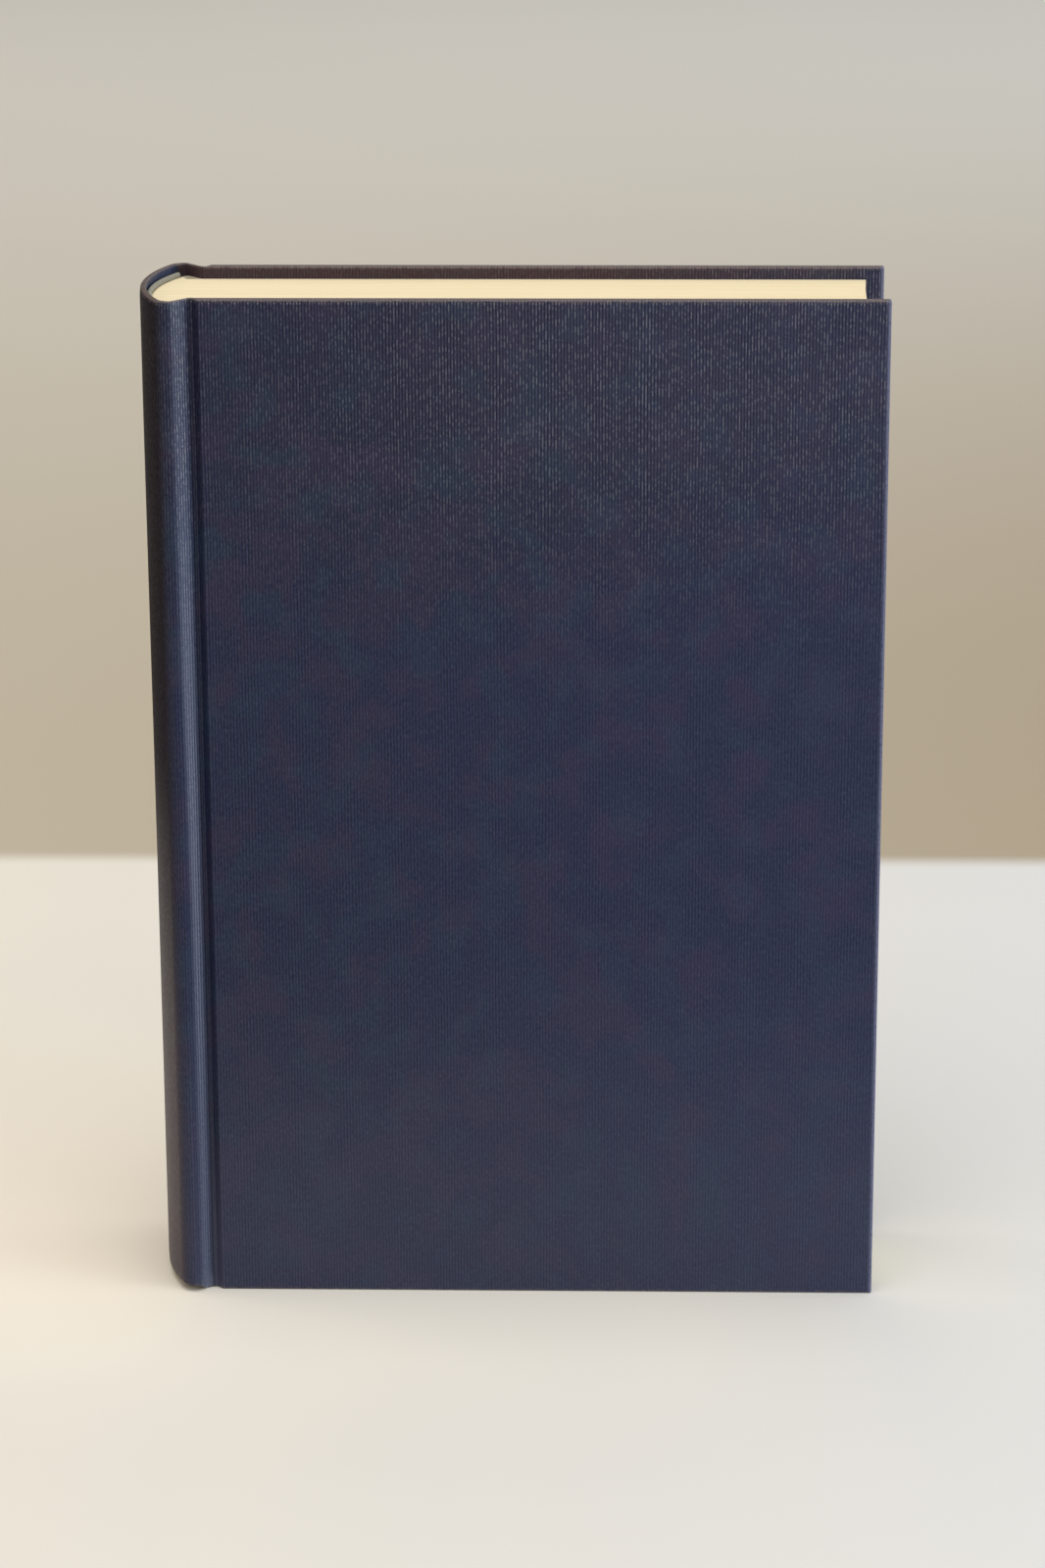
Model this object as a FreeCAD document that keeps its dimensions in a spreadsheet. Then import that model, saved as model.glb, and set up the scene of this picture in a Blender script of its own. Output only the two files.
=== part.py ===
"""A cloth-covered hardback book with a rounded, backed spine and two hinged covers.

The book stands on its tail.  +Z is up, +X points to the fore-edge and -Y is the
front cover's side.  The origin is the middle of the footprint on the table.
Lengths are millimetres.  The back half is the front half mirrored in Y.
"""
import FreeCAD, Part
import math
import os
import Sketcher
from FreeCAD import Placement, Rotation, Vector

# Driving sizes: name, value, meaning
SIZES = (
    ("board_height", 240.0, "height of a covered board"),
    ("board_width", 154.4, "width of a covered board"),
    ("block_thickness", 32.0, "thickness of the pressed pages"),
    ("paper_thickness", 0.15, "endpaper sheet"),
    ("leaf_gap", 0.1, "slack between the flyleaf and the pastedown"),
    ("cloth_thickness", 0.3, "book cloth with its glue"),
    ("card_thickness", 2.0, "grey board inside a cover"),
    ("end_square", 2.85, "cover past the pages at head and tail"),
    ("fore_square", 4.2, "cover past the pages at the fore-edge"),
    ("fore_hollow", 0.35, "depth of the hollow fore-edge"),
    ("turn_in", 15.0, "cloth folded over on the inside"),
    ("mitre_slit", 0.2, "width and depth of the line where two turn-ins meet"),
    ("edge_radius", 0.5, "rounding of the cloth over a board's long edges"),
    ("shoulder_from_board", 5.5, "foot of the backed shoulder, from the board"),
    ("shoulder_height", 2.4, "shoulder above the face of the pages"),
    ("shoulder_lean", 1.2, "shoulder's tip behind its foot"),
    ("block_radius", 36.0, "rounded back of the pages"),
    ("glue_line", 0.1, "glue under each lining of the back of the pages"),
    ("mull_thickness", 0.25, "open cloth glued to the back of the pages"),
    ("lining_thickness", 0.25, "paper glued over the mull"),
    ("lining_inset", 0.3, "linings stop short of the shoulders and the ends"),
    ("mull_reach", 25.0, "mull glued under the pastedown"),
    ("bead_radius", 0.6, "rolled edge of a headband"),
    ("bead_out", 0.45, "bead's middle outside the back of the pages"),
    ("band_depth", 12.0, "headband's tape down the back of the pages"),
    ("hollow_gap", 2.6, "crown of the spine outside the back of the pages"),
    ("crest_from_board", 6.6, "crest of the spine, from the board"),
    ("crest_proud", 2.2, "crest above the face of the board"),
    ("crest_radius", 3.5, "crest, on the side of the spine"),
    ("flank_radius", 1.5, "crest, on the side of the joint"),
    ("groove_radius", 0.8, "bottom of the pressed joint"),
    ("groove_from_board", 1.5, "bottom of the joint, from the board"),
    ("inlay_thickness", 0.75, "card strip inside the spine"),
    ("spine_lift", 1.6, "foot of the spine above the table"),
    ("hinge_run", 0.8, "hinge line down the flank, from the crest"),
    ("hinge_out", 0.4, "hinge line outside the cloth"),
    ("hinge_slit", 0.3, "gap in the cloth at the hinge line"),
    ("endpaper_start", 0.3, "pastedown starts this much past the hinge slit"),
)

doc = FreeCAD.newDocument("HardbackBook")
sheet = doc.addObject("Spreadsheet::Sheet", "Sizes")
for row, (alias, value, meaning) in enumerate(SIZES, start=1):
    sheet.set(f"A{row}", alias)
    sheet.set(f"B{row}", str(value))
    sheet.set(f"C{row}", meaning)
    sheet.setAlias(f"B{row}", alias)
doc.recompute()


class Length:
    """A size in millimetres that also knows the sheet expression behind it."""

    def __init__(self, value, text=None):
        self.value = float(value)
        self.text = text or f"{self.value:.9g}"

    def join(self, sign, other, value):
        return Length(value, f"({self.text} {sign} {other.text})")

    def __float__(self):
        return self.value

    def __add__(self, other):
        other = as_length(other)
        return self.join("+", other, self.value + other.value)

    def __sub__(self, other):
        other = as_length(other)
        return self.join("-", other, self.value - other.value)

    def __mul__(self, other):
        other = as_length(other)
        return self.join("*", other, self.value * other.value)

    def __truediv__(self, other):
        other = as_length(other)
        return self.join("/", other, self.value / other.value)

    def __neg__(self):
        return Length(-self.value, f"(-1 * {self.text})")


def as_length(number):
    """A plain number as a Length; a Length as it is."""
    return number if isinstance(number, Length) else Length(number)


def root(length):
    """Square root of a Length."""
    return Length(math.sqrt(length.value), f"sqrt({length.text})")


def read_size(name):
    """The sheet's value of one driving size."""
    return Length(getattr(sheet, name), f"Sizes.{name}")


SIZE = {name: read_size(name) for name, _, _ in SIZES}
ZERO = Length(0.0)
CLOTH = SIZE["cloth_thickness"]
PAPER = SIZE["paper_thickness"]
GLUE = SIZE["glue_line"]
MULL_OUT = GLUE + SIZE["mull_thickness"]
LINING_IN = MULL_OUT + GLUE
EDGE = SIZE["edge_radius"]
FRONT, BACK = -1, 1
CLOSED = 1e-6

# Stations across the thickness, from the middle of the pages outwards
BLOCK_Y = SIZE["block_thickness"] / 2
LEAF_Y = BLOCK_Y + PAPER
PASTE_Y = LEAF_Y + SIZE["leaf_gap"]
LINER_Y = PASTE_Y + PAPER
CARD_IN_Y = LINER_Y + CLOTH
CARD_OUT_Y = CARD_IN_Y + SIZE["card_thickness"]
COVER_Y = CARD_OUT_Y + CLOTH
GROOVE_Y = CARD_IN_Y + CLOTH
CREST_Y = COVER_Y + SIZE["crest_proud"]

# Reach of the spine behind the boards' edges
TIP_Y = BLOCK_Y + SIZE["shoulder_height"]
TIP_BACK = SIZE["shoulder_from_board"] + SIZE["shoulder_lean"]
BACK_RUN = root(SIZE["block_radius"] * SIZE["block_radius"] - TIP_Y * TIP_Y)
BACK_RISE = SIZE["block_radius"] - BACK_RUN
SPINE_REACH = TIP_BACK + BACK_RISE + SIZE["hollow_gap"]

# Stations along the width: the board's edge beside the spine comes first
BOARD_X = (SPINE_REACH - SIZE["board_width"]) / 2
FORE_X = BOARD_X + SIZE["board_width"]
PAGE_X = FORE_X - SIZE["fore_square"]
TURN_X = FORE_X - SIZE["turn_in"]
MULL_X = BOARD_X + SIZE["mull_reach"]
CREST_X = BOARD_X - SIZE["crest_from_board"]
GROOVE_X = BOARD_X - SIZE["groove_from_board"]
NOTCH_X = BOARD_X - SIZE["shoulder_from_board"]
TIP_X = NOTCH_X - SIZE["shoulder_lean"]
BACK_X = TIP_X + BACK_RUN

# Stations up the height
HEAD_Z = SIZE["board_height"] - SIZE["end_square"]
TAIL_Z = SIZE["end_square"]
TOP_TURN_Z = SIZE["board_height"] - SIZE["turn_in"]


def plan(x, y):
    """A point of the plan, on the front half."""
    return Vector(float(x), -float(y), 0)


def common_normal(convex, hollow, reach):
    """Outward normal of the line that touches a convex and a hollow arc."""
    way = hollow - convex
    along = reach / way.Length
    across = math.sqrt(1 - along * along)
    way.normalize()
    side = Vector(-way.y, way.x, 0)
    first = way * along + side * across
    second = way * along - side * across
    return first if first.y < second.y else second


# Centres of the arcs that shape the case, on the front half
CREST_C = plan(CREST_X, CREST_Y - SIZE["crest_radius"])
FLANK_C = plan(CREST_X, CREST_Y - SIZE["flank_radius"])
GROOVE_C = plan(GROOVE_X, GROOVE_Y + SIZE["groove_radius"])
EDGE_C = plan(BOARD_X + EDGE, COVER_Y - EDGE)
FLANK_N = common_normal(
    FLANK_C, GROOVE_C, float(SIZE["flank_radius"] + SIZE["groove_radius"])
)
SLOPE_N = common_normal(EDGE_C, GROOVE_C, float(EDGE + SIZE["groove_radius"]))
FLANK_WAY = Vector(-FLANK_N.y, FLANK_N.x, 0)


def crown_radius():
    """Radius of the spine's main arc, tangent to both crest arcs."""
    rise = float(SPINE_REACH - SIZE["crest_from_board"])
    small = float(SIZE["crest_radius"])
    half = abs(CREST_C.y)
    return (half**2 + rise**2 - small**2) / (2 * (rise - small))


CROWN_R = crown_radius()
CROWN_C = Vector(float(BOARD_X - SPINE_REACH) + CROWN_R, 0, 0)
CROWN_N = (CREST_C - CROWN_C).normalize()
BACK_R = float(SIZE["block_radius"])
BACK_C = Vector(float(BACK_X), 0, 0)


def flip(point):
    """The same point on the back half."""
    return Vector(point.x, -point.y, point.z)


def crest_top(depth):
    return plan(CREST_X, CREST_Y - depth)


def crown_end(depth):
    """Where the crown meets the crest, that deep under the surface."""
    return CROWN_C + CROWN_N * (CROWN_R - float(depth))


def flank_point(run, depth):
    """A point of the joint's flank, run down from the crest."""
    start = FLANK_C + FLANK_N * float(SIZE["flank_radius"] - depth)
    return start + FLANK_WAY * float(run)


def groove_in(depth):
    return GROOVE_C - FLANK_N * float(SIZE["groove_radius"] + depth)


def groove_bottom(depth):
    return plan(GROOVE_X, GROOVE_Y - depth)


def groove_out(depth):
    return GROOVE_C - SLOPE_N * float(SIZE["groove_radius"] + depth)


def groove_parting():
    """Past the bottom of the groove, where the layer under it leaves the cloth."""
    way = (Vector(0, 1, 0) - SLOPE_N).normalize()
    return GROOVE_C + way * float(SIZE["groove_radius"] + CLOTH)


def slope_end(depth):
    return EDGE_C + SLOPE_N * float(EDGE - depth)


def edge_top(depth):
    return plan(BOARD_X + EDGE, COVER_Y - depth)


SPINE_SLIT = SIZE["hinge_run"] - SIZE["hinge_slit"] / 2
COVER_SLIT = SIZE["hinge_run"] + SIZE["hinge_slit"] / 2
HINGE = flank_point(SIZE["hinge_run"], -SIZE["hinge_out"])


class Outline:
    """A closed outline of lines and arcs, drawn point by point."""

    def __init__(self, start):
        self.points = [start]
        self.arcs = {}

    def line(self, point):
        self.points.append(point)
        return self

    def arc(self, centre, point, radius=None):
        """The shorter arc to a point; radius is the Length that drives it."""
        self.arcs[len(self.points) - 1] = (centre, radius)
        if (point - self.points[0]).Length > CLOSED:
            self.points.append(point)
        return self

    def on(self, side):
        """The outline on the front or the back half."""
        if side == FRONT:
            return self
        other = Outline(flip(self.points[0]))
        other.points = [flip(point) for point in self.points]
        for index, (centre, radius) in self.arcs.items():
            other.arcs[index] = (flip(centre), radius)
        return other

    def draw(self, sketch):
        """Add the outline to a sketch, joined end to end."""
        ends = []
        count = len(self.points)
        for index, start in enumerate(self.points):
            finish = self.points[(index + 1) % count]
            if index in self.arcs:
                ends.append(self.draw_arc(sketch, index, start, finish))
            else:
                edge = sketch.addGeometry(Part.LineSegment(start, finish), False)
                ends.append((edge, 1, 2))
        for index, (edge, _, last) in enumerate(ends):
            following, first, _ = ends[(index + 1) % count]
            sketch.addConstraint(
                Sketcher.Constraint("Coincident", edge, last, following, first)
            )
        for index, (_, radius) in self.arcs.items():
            if radius is not None:
                bind(sketch, "Radius", (ends[index][0],), radius)

    def draw_arc(self, sketch, index, start, finish):
        """Arcs run anticlockwise, so a clockwise one is drawn from its end."""
        centre = self.arcs[index][0]
        spoke, target = start - centre, finish - centre
        forward = spoke.x * target.y - spoke.y * target.x > 0
        first = math.atan2(spoke.y, spoke.x)
        last = math.atan2(target.y, target.x)
        if not forward:
            first, last = last, first
        if last < first:
            last += 2 * math.pi
        circle = Part.Circle(centre, Vector(0, 0, 1), spoke.Length)
        edge = sketch.addGeometry(Part.ArcOfCircle(circle, first, last), False)
        return (edge, 1, 2) if forward else (edge, 2, 1)


def bind(sketch, kind, where, length):
    """A sketch dimension that follows the sheet."""
    index = sketch.addConstraint(Sketcher.Constraint(kind, *where, float(length)))
    sketch.setExpression(f"Constraints[{index}]", length.text)


def new_body(label):
    body = doc.addObject("PartDesign::Body", label)
    body.Label = label
    return body


def new_sketch(body, role, level, name):
    """A sketch parallel to one of the body's own planes, level above it."""
    sketch = body.newObject("Sketcher::SketchObject", f"{body.Label}_{name}")
    for feature in body.Origin.OriginFeatures:
        if feature.Role == role:
            sketch.AttachmentSupport = [(feature, "")]
    sketch.MapMode = "FlatFace"
    sketch.AttachmentOffset = Placement(Vector(0, 0, float(level)), Rotation())
    sketch.setExpression("AttachmentOffset.Base.z", level.text)
    return sketch


def draw_rectangle(sketch, left, right, low, high):
    """A rectangle whose place and size follow the sheet."""
    corners = [
        Vector(float(x), float(y), 0)
        for x, y in ((left, low), (right, low), (right, high), (left, high))
    ]
    for index, corner in enumerate(corners):
        following = corners[(index + 1) % 4]
        sketch.addGeometry(Part.LineSegment(corner, following), False)
    for index in range(4):
        joint = Sketcher.Constraint("Coincident", index, 2, (index + 1) % 4, 1)
        sketch.addConstraint(joint)
    for index, kind in enumerate(("Horizontal", "Vertical") * 2):
        sketch.addConstraint(Sketcher.Constraint(kind, index))
    bind(sketch, "DistanceX", (-1, 1, 0, 1), left)
    bind(sketch, "DistanceY", (-1, 1, 0, 1), low)
    bind(sketch, "DistanceX", (0, 1, 0, 2), right - left)
    bind(sketch, "DistanceY", (1, 1, 1, 2), high - low)


def pad(sketch, length, name="Pad"):
    """Solid from a sketch, length along the sketch's normal."""
    body = sketch.getParentGeoFeatureGroup()
    feature = body.newObject("PartDesign::Pad", f"{body.Label}_{name}")
    feature.Profile = sketch
    feature.Length = float(length)
    feature.setExpression("Length", length.text)
    return feature


def pocket(sketch, depth, backwards, name):
    """Cut from a sketch against its normal, or along it when backwards."""
    body = sketch.getParentGeoFeatureGroup()
    before = body.Tip.Shape.Volume
    feature = body.newObject("PartDesign::Pocket", f"{body.Label}_{name}")
    feature.Profile = sketch
    feature.Length = float(depth)
    feature.setExpression("Length", depth.text)
    feature.Reversed = backwards
    doc.recompute()
    if feature.Shape.Volume >= before:
        raise RuntimeError(f"{feature.Name} cuts nothing")
    return feature


def slab_level(side, near, far):
    """Level of an XZ sketch whose pad fills from near to far of the middle.

    The XZ plane's normal is -Y, so the front slab starts at its inner face
    and the back slab at its outer one.
    """
    return near if side == FRONT else -far


def slab_sketch(body, side, near, far, name):
    return new_sketch(body, "XZ_Plane", slab_level(side, near, far), name)


def text_block():
    """The pressed pages: rounded back, backed shoulders, hollow fore-edge."""
    notch = plan(NOTCH_X, BLOCK_Y)
    tip = plan(TIP_X, TIP_Y)
    corner = plan(PAGE_X, BLOCK_Y)
    half, hollow = float(BLOCK_Y), float(SIZE["fore_hollow"])
    fore_radius = (half**2 + hollow**2) / (2 * hollow)
    fore_centre = Vector(float(PAGE_X) - hollow + fore_radius, 0, 0)
    outline = Outline(corner).line(notch).line(tip)
    outline.arc(BACK_C, flip(tip), SIZE["block_radius"])
    outline.line(flip(notch)).line(flip(corner)).arc(fore_centre, corner)
    body = new_body("text_block")
    sketch = new_sketch(body, "XY_Plane", TAIL_Z, "Plan")
    outline.draw(sketch)
    pad(sketch, HEAD_Z - TAIL_Z)


def flyleaf(side, label):
    """The free leaf of an endpaper, up the shoulder and along the pages."""
    notch = plan(NOTCH_X, BLOCK_Y)
    tip = plan(TIP_X, TIP_Y)
    face_out = Vector(0, -1, 0)
    shoulder = (tip - notch).normalize()
    shoulder_out = Vector(-shoulder.y, shoulder.x, 0)
    spread = (face_out + shoulder_out) / (1 + face_out.dot(shoulder_out))
    bend = notch + spread * float(PAPER)
    outline = Outline(plan(PAGE_X, BLOCK_Y)).line(notch).line(tip)
    outline.line(tip + shoulder_out * float(PAPER)).line(bend)
    outline.line(plan(PAGE_X, LEAF_Y))
    body = new_body(label)
    sketch = new_sketch(body, "XY_Plane", TAIL_Z, "Plan")
    outline.on(side).draw(sketch)
    pad(sketch, HEAD_Z - TAIL_Z)


def back_band(body, low, high, inner, outer):
    """A strip round the back of the pages, between two depths over it."""
    half = float(TIP_Y - SIZE["lining_inset"])
    spread = math.asin(half / BACK_R)
    spoke = Vector(-math.cos(spread), -math.sin(spread), 0)
    near = BACK_C + spoke * (BACK_R + float(inner))
    far = BACK_C + spoke * (BACK_R + float(outer))
    outline = Outline(near)
    outline.arc(BACK_C, flip(near), SIZE["block_radius"] + inner)
    outline.line(flip(far))
    outline.arc(BACK_C, far, SIZE["block_radius"] + outer)
    sketch = new_sketch(body, "XY_Plane", low, "Plan")
    outline.draw(sketch)
    pad(sketch, high - low)


def spine_mull():
    """Open cloth glued to the back of the pages, between the headbands."""
    body = new_body("spine_mull")
    low = TAIL_Z + SIZE["band_depth"]
    high = HEAD_Z - SIZE["band_depth"]
    back_band(body, low, high, GLUE, MULL_OUT)


def spine_lining():
    """Paper over the mull and the headbands' tapes."""
    body = new_body("spine_lining")
    low = TAIL_Z + SIZE["lining_inset"]
    high = HEAD_Z - SIZE["lining_inset"]
    back_band(body, low, high, LINING_IN, LINING_IN + SIZE["lining_thickness"])


def headband(label, edge_z, up):
    """A rolled bead on the edge of the pages with its tape down the back.

    Both are turned about the axis of the rounded back.
    """
    radius = SIZE["bead_radius"]
    bead_z = edge_z + radius * up
    tape_end = edge_z - SIZE["band_depth"] * up
    low, high = (tape_end, bead_z) if up > 0 else (bead_z, tape_end)
    body = new_body(label)
    half = float(TIP_Y - SIZE["lining_inset"])
    spread = math.degrees(2 * math.asin(half / BACK_R))
    outer = SIZE["block_radius"] + SIZE["bead_out"]
    for name in ("Tape", "Bead"):
        sketch = new_sketch(body, "XZ_Plane", ZERO, name)
        sketch.AttachmentOffset = Placement(Vector(BACK_C.x, 0, 0), Rotation())
        sketch.setExpression("AttachmentOffset.Base.x", BACK_X.text)
        if name == "Tape":
            tape_in = -(SIZE["block_radius"] + GLUE)
            tape_out = -(SIZE["block_radius"] + MULL_OUT)
            draw_rectangle(sketch, tape_out, tape_in, low, high)
        else:
            centre = Vector(-float(outer), float(bead_z), 0)
            circle = Part.Circle(centre, Vector(0, 0, 1), float(radius))
            sketch.addGeometry(circle, False)
            bind(sketch, "Radius", (0,), radius)
            bind(sketch, "DistanceX", (-1, 1, 0, 3), -outer)
            bind(sketch, "DistanceY", (-1, 1, 0, 3), bead_z)
        turn = body.newObject("PartDesign::Revolution", f"{label}_{name}Turn")
        turn.Profile = sketch
        turn.ReferenceAxis = (sketch, ["V_Axis"])
        turn.Angle = spread
        turn.Midplane = True
        doc.recompute()


def crest_run(outline, depth):
    """From a point at the front crest round the crown to the back crest."""
    outline.arc(CREST_C, crown_end(depth), SIZE["crest_radius"] - depth)
    outline.arc(CROWN_C, flip(crown_end(depth)))
    outline.arc(flip(CREST_C), flip(crest_top(depth)))
    return outline


def crest_return(outline, depth):
    """The way back, from the back crest to the front one."""
    outline.arc(flip(CREST_C), flip(crown_end(depth)))
    outline.arc(CROWN_C, crown_end(depth))
    outline.arc(CREST_C, crest_top(depth), SIZE["crest_radius"] - depth)
    return outline


def spine_inlay():
    """Card strip that stiffens the spine, from crest to crest."""
    depth = CLOTH + SIZE["inlay_thickness"]
    outline = crest_run(Outline(crest_top(CLOTH)), CLOTH)
    outline.line(flip(crest_top(depth)))
    crest_return(outline, depth)
    body = new_body("spine_inlay")
    sketch = new_sketch(body, "XY_Plane", SIZE["spine_lift"] + CLOTH, "Plan")
    outline.draw(sketch)
    pad(sketch, SIZE["board_height"] - CLOTH - SIZE["spine_lift"] - CLOTH)


def spine_skin_outline():
    """One layer of cloth from hinge slit to hinge slit."""
    outline = Outline(flank_point(SPINE_SLIT, ZERO))
    outline.line(flank_point(ZERO, ZERO))
    outline.arc(FLANK_C, crest_top(ZERO), SIZE["flank_radius"])
    crest_run(outline, ZERO)
    outline.arc(flip(FLANK_C), flip(flank_point(ZERO, ZERO)))
    outline.line(flip(flank_point(SPINE_SLIT, ZERO)))
    outline.line(flip(flank_point(SPINE_SLIT, CLOTH)))
    outline.line(flip(flank_point(ZERO, CLOTH)))
    outline.arc(flip(FLANK_C), flip(crest_top(CLOTH)))
    crest_return(outline, CLOTH)
    outline.arc(FLANK_C, flank_point(ZERO, CLOTH), SIZE["flank_radius"] - CLOTH)
    outline.line(flank_point(SPINE_SLIT, CLOTH))
    return outline


def spine_turn_outline():
    """The turned-in layer: beside the skin in the joints, and inside the
    inlay from crest to crest."""
    doubled = CLOTH + CLOTH
    inner = CLOTH + SIZE["inlay_thickness"]
    innermost = inner + CLOTH
    lead = Vector(float(CLOTH), 0, 0)
    inner_corner = crest_top(innermost) + lead
    outline = Outline(flank_point(SPINE_SLIT, CLOTH))
    outline.line(flank_point(ZERO, CLOTH))
    outline.arc(FLANK_C, crest_top(CLOTH), SIZE["flank_radius"] - CLOTH)
    outline.line(crest_top(inner))
    crest_run(outline, inner)
    outline.line(flip(crest_top(CLOTH)))
    outline.arc(flip(FLANK_C), flip(flank_point(ZERO, CLOTH)))
    outline.line(flip(flank_point(SPINE_SLIT, CLOTH)))
    outline.line(flip(flank_point(SPINE_SLIT, doubled)))
    outline.line(flip(inner_corner)).line(flip(crest_top(innermost)))
    crest_return(outline, innermost)
    outline.line(inner_corner).line(flank_point(SPINE_SLIT, doubled))
    return outline


def spine_rim_outline():
    """Cloth that passes over the end of the inlay."""
    depth = CLOTH + SIZE["inlay_thickness"]
    outline = crest_run(Outline(crest_top(CLOTH)), CLOTH)
    outline.line(flip(crest_top(depth)))
    crest_return(outline, depth)
    return outline


def spine_cloth():
    """Cloth over the spine, folded in over the inlay at head and tail."""
    height = SIZE["board_height"]
    low = SIZE["spine_lift"]
    body = new_body("spine_cloth")
    layers = (
        ("Skin", spine_skin_outline(), low, height),
        ("TailTurnIn", spine_turn_outline(), low, low + SIZE["turn_in"]),
        ("HeadTurnIn", spine_turn_outline(), TOP_TURN_Z, height),
        ("TailRim", spine_rim_outline(), low, low + CLOTH),
        ("HeadRim", spine_rim_outline(), height - CLOTH, height),
    )
    for name, outline, bottom, top in layers:
        sketch = new_sketch(body, "XY_Plane", bottom, name)
        outline.draw(sketch)
        pad(sketch, top - bottom, f"{name}Pad")
        doc.recompute()


def cover_skin_outline():
    """One layer of cloth: joint, outer face, fore-edge and its turn-in."""
    edge_in = EDGE - CLOTH
    fore_out = plan(FORE_X - EDGE, COVER_Y - EDGE)
    fore_in = plan(FORE_X - EDGE, LINER_Y + EDGE)
    outline = Outline(flank_point(COVER_SLIT, ZERO)).line(groove_in(ZERO))
    outline.arc(GROOVE_C, groove_out(ZERO), SIZE["groove_radius"])
    outline.line(slope_end(ZERO)).arc(EDGE_C, edge_top(ZERO), EDGE)
    outline.line(plan(FORE_X - EDGE, COVER_Y))
    outline.arc(fore_out, plan(FORE_X, COVER_Y - EDGE), EDGE)
    outline.line(plan(FORE_X, LINER_Y + EDGE))
    outline.arc(fore_in, plan(FORE_X - EDGE, LINER_Y), EDGE)
    outline.line(plan(TURN_X, LINER_Y)).line(plan(TURN_X, CARD_IN_Y))
    outline.line(plan(FORE_X - EDGE, CARD_IN_Y))
    outline.arc(fore_in, plan(FORE_X - CLOTH, LINER_Y + EDGE), edge_in)
    outline.line(plan(FORE_X - CLOTH, COVER_Y - EDGE))
    outline.arc(fore_out, plan(FORE_X - EDGE, CARD_OUT_Y), edge_in)
    outline.line(edge_top(CLOTH)).arc(EDGE_C, slope_end(CLOTH), edge_in)
    outline.line(groove_out(CLOTH))
    outline.arc(GROOVE_C, groove_in(CLOTH), SIZE["groove_radius"] + CLOTH)
    outline.line(flank_point(COVER_SLIT, CLOTH))
    return outline


def joint_layer_outline(start, outer, inner, end_x, parting=None):
    """A layer of the joint: down the flank, then flat under the board.

    The layer right under the cloth clings to it as far as the parting.
    """
    groove = SIZE["groove_radius"]
    outline = Outline(flank_point(start, outer)).line(groove_in(outer))
    outline.arc(GROOVE_C, parting or groove_bottom(outer), groove + outer)
    if parting:
        outline.line(Vector(parting.x, -float(GROOVE_Y - outer), 0))
    outline.line(plan(end_x, GROOVE_Y - outer))
    outline.line(plan(end_x, GROOVE_Y - inner)).line(groove_bottom(inner))
    outline.arc(GROOVE_C, groove_in(inner), groove + inner)
    outline.line(flank_point(start, inner))
    return outline


def cover_cap_outline():
    """Cloth that passes over the end of the board."""
    edge_in = EDGE - CLOTH
    fore_out = plan(FORE_X - EDGE, COVER_Y - EDGE)
    fore_in = plan(FORE_X - EDGE, LINER_Y + EDGE)
    outline = Outline(groove_bottom(CLOTH))
    outline.arc(GROOVE_C, groove_out(CLOTH), SIZE["groove_radius"] + CLOTH)
    outline.line(slope_end(CLOTH)).arc(EDGE_C, edge_top(CLOTH), edge_in)
    outline.line(plan(FORE_X - EDGE, CARD_OUT_Y))
    outline.arc(fore_out, plan(FORE_X - CLOTH, COVER_Y - EDGE), edge_in)
    outline.line(plan(FORE_X - CLOTH, LINER_Y + EDGE))
    outline.arc(fore_in, plan(FORE_X - EDGE, CARD_IN_Y), edge_in)
    return outline


def mitre_outline(corner, inner):
    """Thin slot on the diagonal from a board's corner to its turn-ins."""
    way = (inner - corner).normalize()
    across = Vector(-way.y, way.x, 0) * (float(SIZE["mitre_slit"]) / 2)
    outline = Outline(corner - across).line(corner + across)
    return outline.line(inner + across).line(inner - across)


def cover_cloth(side, label):
    """Cloth of one cover: joint, outer face and three mitred turn-ins."""
    height = SIZE["board_height"]
    doubled = CLOTH + CLOTH
    turn_end = FORE_X - EDGE
    turn = joint_layer_outline(
        COVER_SLIT, CLOTH, doubled, turn_end, groove_parting()
    )
    body = new_body(label)
    layers = (
        ("Skin", cover_skin_outline(), ZERO, height),
        ("TailTurnIn", turn, ZERO, SIZE["turn_in"]),
        ("HeadTurnIn", turn, TOP_TURN_Z, height),
        ("TailCap", cover_cap_outline(), ZERO, CLOTH),
        ("HeadCap", cover_cap_outline(), height - CLOTH, height),
    )
    for name, outline, bottom, top in layers:
        sketch = new_sketch(body, "XY_Plane", bottom, name)
        outline.on(side).draw(sketch)
        pad(sketch, top - bottom, f"{name}Pad")
        doc.recompute()
    slit = SIZE["mitre_slit"]
    level = LINER_Y if side == FRONT else -LINER_Y
    reach = float(SIZE["turn_in"] + slit)
    for name, corner_z, way in (("Tail", ZERO, 1), ("Head", height, -1)):
        corner = Vector(float(FORE_X), float(corner_z), 0)
        inner = corner + Vector(-reach, reach * way, 0)
        sketch = new_sketch(body, "XZ_Plane", level, f"{name}Mitre")
        mitre_outline(corner, inner).draw(sketch)
        pocket(sketch, slit, side == FRONT, f"{name}MitreCut")


def grey_board(side, label):
    """The stiff board inside a cover."""
    left = BOARD_X + CLOTH
    right = FORE_X - CLOTH
    high = SIZE["board_height"] - CLOTH
    body = new_body(label)
    sketch = slab_sketch(body, side, CARD_IN_Y, CARD_OUT_Y, "Face")
    draw_rectangle(sketch, left, right, CLOTH, high)
    plate = pad(sketch, SIZE["card_thickness"])
    doc.recompute()
    edges = [
        f"Edge{index}"
        for index, edge in enumerate(plate.Shape.Edges, start=1)
        if is_upright(edge)
    ]
    rounding = body.newObject("PartDesign::Fillet", f"{label}_LongEdges")
    rounding.Base = (plate, edges)
    rounding.Radius = float(EDGE - CLOTH)
    rounding.setExpression("Radius", (EDGE - CLOTH).text)


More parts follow.
